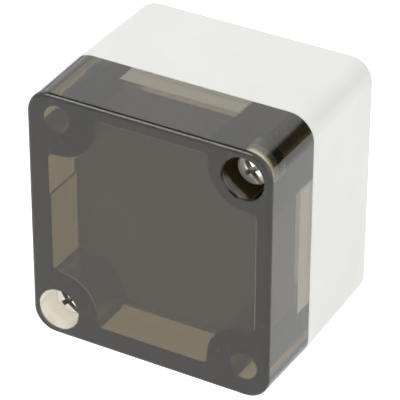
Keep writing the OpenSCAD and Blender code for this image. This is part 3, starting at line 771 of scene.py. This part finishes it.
def build_chips():
    """Controller with 14 leads, and a regulator with three leads and a tab."""
    (x, y), (length, width, height) = CHIP_AT, CHIP_SIZE
    top = BOARD_TOP + height
    body = slab(chip_outline(x, y, length, width),
                [(0.12, BOARD_TOP + 0.1), (0, BOARD_TOP + 0.75), (0.15, top - 0.05), (0.22, top)])
    dimple = revolve([(0.35, top - 0.1), (0.4, top + 0.4)], (x - 3.7, y - 1.2), 24)
    on_board("controller_chip_body", combine(body, [dimple]), "chip_epoxy", ["controller_chip"])
    legs = [gull_wing((x + i * 1.2, y), s, width / 2, 0.4) for i in range(-3, 4) for s in (-1, 1)]
    x, y = REGULATOR_AT
    half = REGULATOR_SIZE[1] / 2
    legs += [gull_wing((x + i * 1.5, y), -1, half, 0.5, 0.7, 0.35) for i in (-1, 0, 1)]
    legs.append(gull_wing(REGULATOR_AT, 1, half, 1.7, 0.7, 0.2))
    on_board("chip_leads", merge(legs), "tinned_metal")
    regulator = soft_box(REGULATOR_AT, REGULATOR_SIZE, BOARD_TOP + 0.02, 0.15, 0.2)
    on_board("regulator_body", regulator, "chip_epoxy", ["voltage_regulator"])


def build_diodes():
    body, tab, band = (3.9, 2.55, 2.0), (0.85, 1.4, 0.9), (0.4, 2.1, 0.03)
    bodies = [soft_box(at, body, BOARD_TOP + 0.15, 0.15, 0.25) for at in DIODES_AT]
    tabs = [soft_box((x + s * 2.1, y), tab, BOARD_TOP + 0.01, 0.06, 0.06)
            for x, y in DIODES_AT for s in (-1, 1)]
    bands = [soft_box((x - 1.35, y), band, BOARD_TOP + 2.13, 0.05, 0.01) for x, y in DIODES_AT]
    on_board("diode_bodies", merge(bodies), "chip_epoxy", ["protection_diodes"])
    on_board("diode_tabs", merge(tabs), "tinned_metal")
    on_board("diode_bands", merge(bands), "white_plastic")


def build_lamps():
    """Surface-mount lamps: a white base under a domed lens."""
    base, dome = (1.6, 0.9, 0.3), (1.1, 0.8, 0.42)
    bases = [soft_box(at, base, BOARD_TOP, 0.06, 0.04) for at in LAMPS_AT]
    on_board("lamp_bases", merge(bases), "white_plastic", ["indicator_lamps"])
    domes = [soft_box(at, dome, BOARD_TOP + 0.28, 0.2, 0.2) for at in LAMPS_AT]
    on_board("lamp_domes", merge(domes), "lamp_epoxy")


def build_cans():
    """Electrolytic capacitors: sleeve rolled over a grooved can, bare top scored with a cross."""
    waist_depth, lip_r, score_r = 0.28, 0.5, 0.07
    for node, at, radius, height, spread in CANS:
        foot, top = BOARD_TOP + 0.3, BOARD_TOP + height
        waist = [(radius - waist_depth * math.sin(math.pi * i / 6), BOARD_TOP + 1.1 + 0.15 * i)
                 for i in range(7)]
        lip = [(radius - i, top - lip_r + rise) for i, rise in quarter(lip_r, 6)]
        rolled = [(radius - 0.75, top - 0.02), (radius - 0.8, top - 0.18), (0, top - 0.18)]
        profile = [(radius - 0.3, foot), (radius, foot + 0.2)] + waist + lip + rolled
        sleeve = revolve(profile, at, 56)
        on_board(f"{node}_sleeve", sleeve, "can_sleeve", [node])
        disc = revolve([(radius - 0.82, top - 0.4), (radius - 0.82, top - 0.12),
                        (radius - 0.9, top - 0.06), (0, top - 0.06)], at, 56)
        score = [block((-radius, -score_r, top - 0.12), (radius, score_r, top + 1)),
                 block((-score_r, -radius, top - 0.12), (score_r, radius, top + 1))]
        for bm in score:
            bm.transform(Matrix.Translation((*at, 0)) @ Matrix.Rotation(math.radians(30), 4, "Z"))
        on_board(f"{node}_top", combine(disc, score), "tinned_metal")
        lead = [(0.3, BOARD_LEVEL - 0.9), (0.3, foot + 0.1)]
        leads = [revolve(lead, (at[0] + t * spread, at[1]), 20) for t in (-1, 1)]
        on_board(f"{node}_leads", merge(leads), "tinned_metal")


def build_choke():
    """Drum core with its winding showing between the two flanges."""
    drum_r = 1.1
    profile = [(CHOKE_R, 0.02), (CHOKE_R, 0.42), (drum_r, 0.5), (drum_r, 1.5), (CHOKE_R, 1.58),
               (CHOKE_R, 1.92), (CHOKE_R - 0.08, 2), (0, 2)]
    core = revolve([(radius, BOARD_TOP + level) for radius, level in profile], CHOKE_AT, 48)
    on_board("choke_core", core, "ferrite", ["choke_coil"])
    wire, coil_r, first, step = 0.09, 1.62, 0.62, 0.155
    section = [(wire * math.cos(t), wire * math.sin(t))
               for t in (2 * math.pi * i / 10 for i in range(10))]
    turns = []
    for k in range(6):
        level = BOARD_TOP + first + step * k
        raised = [(a, level + b) for a, b in section]
        turns.append(torus(CHOKE_AT, coil_r - 0.03 * (k % 2), raised, 40))
    on_board("choke_winding", merge(turns), "brass")


def ink_frame(node, clear=0.35):
    """Thin printed rectangle on the board, round a node."""
    low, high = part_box(node)
    x0, y0 = low.x / MM - clear, low.z / MM - clear
    x1, y1 = high.x / MM + clear, high.z / MM + clear
    bars = [((x0, y0), (x1, y0 + INK_W)), ((x0, y1 - INK_W), (x1, y1)),
            ((x0, y0 + INK_W), (x0 + INK_W, y1 - INK_W)),
            ((x1 - INK_W, y0 + INK_W), (x1, y1 - INK_W))]
    return [block((*a, BOARD_TOP), (*b, BOARD_TOP + INK_T)) for a, b in bars]


def build_printing():
    """White outlines round the parts, without lettering."""
    lines = []
    for node in ("relay_case", "mode_switch", "test_button", "sensitivity_trimmer", "delay_trimmer",
                 "controller_chip", "voltage_regulator", "choke_coil"):
        lines += ink_frame(node)
    half, top = INK_W / 2, BOARD_TOP + INK_T
    section = [(-half, BOARD_TOP), (half, BOARD_TOP), (half, top), (-half, top)]
    for _, at, radius, _, _ in CANS:
        lines.append(torus(at, radius + 0.3, section, 56))
    on_board("board_printing", merge(lines), "white_plastic")


def build_solder():
    """Solder cones round the leads on the back of the board."""
    leads = OPTICS_LEADS + RELAY_PINS + TERMINAL_PINS
    leads += [(at[0] + t * spread, at[1]) for _, at, _, _, spread in CANS for t in (-1, 1)]
    cone = [(0.31, BOARD_LEVEL - 0.55), (0.42, BOARD_LEVEL - 0.28), (0.62, BOARD_LEVEL - 0.08),
            (0.8, BOARD_LEVEL - 0.01)]
    on_board("solder_joints", merge([revolve(cone, at, 20) for at in leads]), "tinned_metal")


def relay_outline(inset):
    width, height, _ = RELAY_SIZE
    points = rounded_outline(width - 2 * inset, height - 2 * inset, 0.6 - inset / 2, 5)
    return [(RELAY_AT[0] + x, RELAY_AT[1] + y) for x, y in points]


def build_relay():
    """Relay case with a seam round its base and a vent nub on its top."""
    foot = BOARD_TOP + 0.4
    top = foot + RELAY_SIZE[2]
    body = slab(relay_outline, [(0.12, foot), (0.12, foot + 1), (0.02, foot + 1.1)]
                + edge_up(top, 0.35, 0.02, 4))
    profile = [(0.8, -0.6), (0.8, 0.25), (0.7, 0.35), (0.35, 0.35), (0.3, 0.2), (0, 0.2)]
    nub = revolve([(radius, top + level) for radius, level in profile],
                  (RELAY_AT[0] + 4.2, RELAY_AT[1] + 1.7), 32)
    on_board("relay_body", combine(body, [nub], "UNION"), "relay_plastic", ["relay_case"])


def build_board_parts():
    build_chip_parts()
    build_chips()
    build_diodes()
    build_lamps()
    build_cans()
    build_choke()
    build_relay()
    build_printing()
    build_solder()


# ---------- camera, light and floor ----------

def make_camera():
    """Camera at the photograph's angle: above the case's front, to its right, a long way off."""
    azimuth, elevation = math.radians(CAMERA_AZIMUTH), math.radians(CAMERA_ELEVATION)
    back = Vector((math.sin(azimuth) * math.cos(elevation),
                   -math.cos(azimuth) * math.cos(elevation), math.sin(elevation)))
    right = Vector((math.cos(azimuth), math.sin(azimuth), 0))
    axes = Matrix((right, back.cross(right), back)).transposed()
    for angle, axis in ((CAMERA_YAW, "Y"), (CAMERA_PITCH, "X"), (CAMERA_ROLL, "Z")):
        axes = axes @ Matrix.Rotation(math.radians(angle), 3, axis)
    camera = bpy.data.cameras.new("camera")
    camera.lens, camera.sensor_width = CAMERA_LENS, 36
    camera.clip_start, camera.clip_end = 0.05, 20
    obj = bpy.data.objects.new("camera", camera)
    scene.collection.objects.link(obj)
    place = (Vector(CAMERA_TARGET) + back * CAMERA_DISTANCE) * MM
    obj.matrix_world = Matrix.Translation(place) @ axes.to_4x4()
    scene.camera = obj


class Sky:
    """White surroundings with soft-edged patches of other brightness, given by direction."""

    def __init__(self, radiance):
        world = bpy.data.worlds.new("studio")
        scene.world = world
        world.use_nodes = True
        self.tree = world.node_tree
        self.way = self.tree.nodes.new("ShaderNodeTexCoord").outputs["Generated"]
        self.level = self.value(radiance)

    def value(self, number):
        node = self.tree.nodes.new("ShaderNodeValue")
        node.outputs[0].default_value = number
        return node.outputs[0]

    def along(self, axis):
        node = self.tree.nodes.new("ShaderNodeVectorMath")
        node.operation = "DOT_PRODUCT"
        self.tree.links.new(self.way, node.inputs[0])
        node.inputs[1].default_value = Vector(axis).normalized()
        return node.outputs["Value"]

    def math(self, operation, a, b=0.0):
        node = self.tree.nodes.new("ShaderNodeMath")
        node.operation = operation
        for socket, value in zip(node.inputs, (a, b)):
            if isinstance(value, bpy.types.NodeSocket):
                self.tree.links.new(value, socket)
            else:
                socket.default_value = value
        return node.outputs[0]

    def ramp(self, value, low, high):
        node = self.tree.nodes.new("ShaderNodeMapRange")
        node.interpolation_type = "SMOOTHSTEP"
        self.tree.links.new(value, node.inputs["Value"])
        node.inputs["From Min"].default_value = low
        node.inputs["From Max"].default_value = high
        return node.outputs["Result"]

    def patch(self, mask, radiance):
        """Where mask is 1 the brightness becomes radiance."""
        gap = self.math("SUBTRACT", radiance, self.level)
        self.level = self.math("ADD", self.level, self.math("MULTIPLY", mask, gap))

    def spot(self, way, inner, outer, radiance):
        near, far = math.cos(math.radians(inner)), math.cos(math.radians(outer))
        self.patch(self.ramp(self.along(way), far, near), radiance)

    def panel(self, way, half_width, half_height, soft, radiance):
        """Rectangular soft box: half sizes and soft edge in degrees."""
        way = Vector(way).normalized()
        side = way.cross(Vector((0, 0, 1))).normalized()
        mask = self.ramp(self.along(way), 0, 0.1)
        for axis, half in ((side, half_width), (side.cross(way), half_height)):
            reach = self.math("ABSOLUTE", self.along(axis))
            low, high = (math.sin(math.radians(half + s * soft)) for s in (-1, 1))
            inside = self.math("SUBTRACT", 1.0, self.ramp(reach, low, high))
            mask = self.math("MULTIPLY", mask, inside)
        self.patch(mask, radiance)

    def finish(self):
        background = self.tree.nodes["Background"]
        background.inputs["Color"].default_value = (1, 1, 1, 1)
        self.tree.links.new(self.level, background.inputs["Strength"])


def make_light():
    sky = Sky(1.5)
    # A dim band along the horizon.
    height = sky.math("ABSOLUTE", sky.along((0, 0, 1)))
    sky.patch(sky.math("SUBTRACT", 1.0, sky.ramp(height, 0.06, 0.16)), 0.4)
    # Dark patches that the cover's corners and upper edge mirror.
    sky.spot((0.62, 0.74, 0.27), 14, 30, 0.1)
    sky.spot((-0.41, 0.22, 0.88), 9, 18, 0.2)
    # Soft box that draws the bright line along the cover's upper edge.
    sky.panel((-0.41, -0.53, 0.74), 16, 12, 3, 5.5)
    # Fill light on the right-hand side.
    sky.spot((1.0, -0.3, 0.1), 12, 42, 2.4)
    sky.finish()


def make_floor():
    """Plain pale paper, lit a little from within so that it stays white round the case."""
    bm = bmesh.new()
    bmesh.ops.create_grid(bm, x_segments=1, y_segments=1, size=4)
    mesh = bpy.data.meshes.new("floor")
    bm.to_mesh(mesh)
    bm.free()
    floor = bpy.data.objects.new("floor", mesh)
    floor.location.z = cad_box[0].z
    scene.collection.objects.link(floor)
    f = Finish("floor_paper", Roughness=0.9)
    f.set("Base Color", (0.1, 0.1, 0.1))
    f.set("Emission Color", (1, 1, 1))
    f.set("Emission Strength", 1.35)
    mesh.materials.append(f.material)


scene.view_settings.view_transform = "Standard"
scene.cycles.max_bounces = 24
scene.cycles.transmission_bounces = 20
scene.cycles.glossy_bounces = 8
scene.cycles.diffuse_bounces = 5

make_camera()
make_light()
make_floor()

finishes = make_finishes()
slots = {part["node"]: part["material_slot"] for part in frame["record"]["subparts"]}
for name, obj in nodes.items():
    obj.data.materials.clear()
    obj.data.materials.append(finishes[slots[name]])

build_housing(finishes["housing_plastic"])
build_cover(finishes["smoked_plastic"])
build_panel(finishes["filter_plastic"])
for k, at in enumerate(SCREW_POSTS):
    build_screw(k + 1, at, SLOT_TURNS[k], finishes["head_steel"])
    build_seal_ring(k + 1, at, finishes["black_rubber"])
build_board_parts()
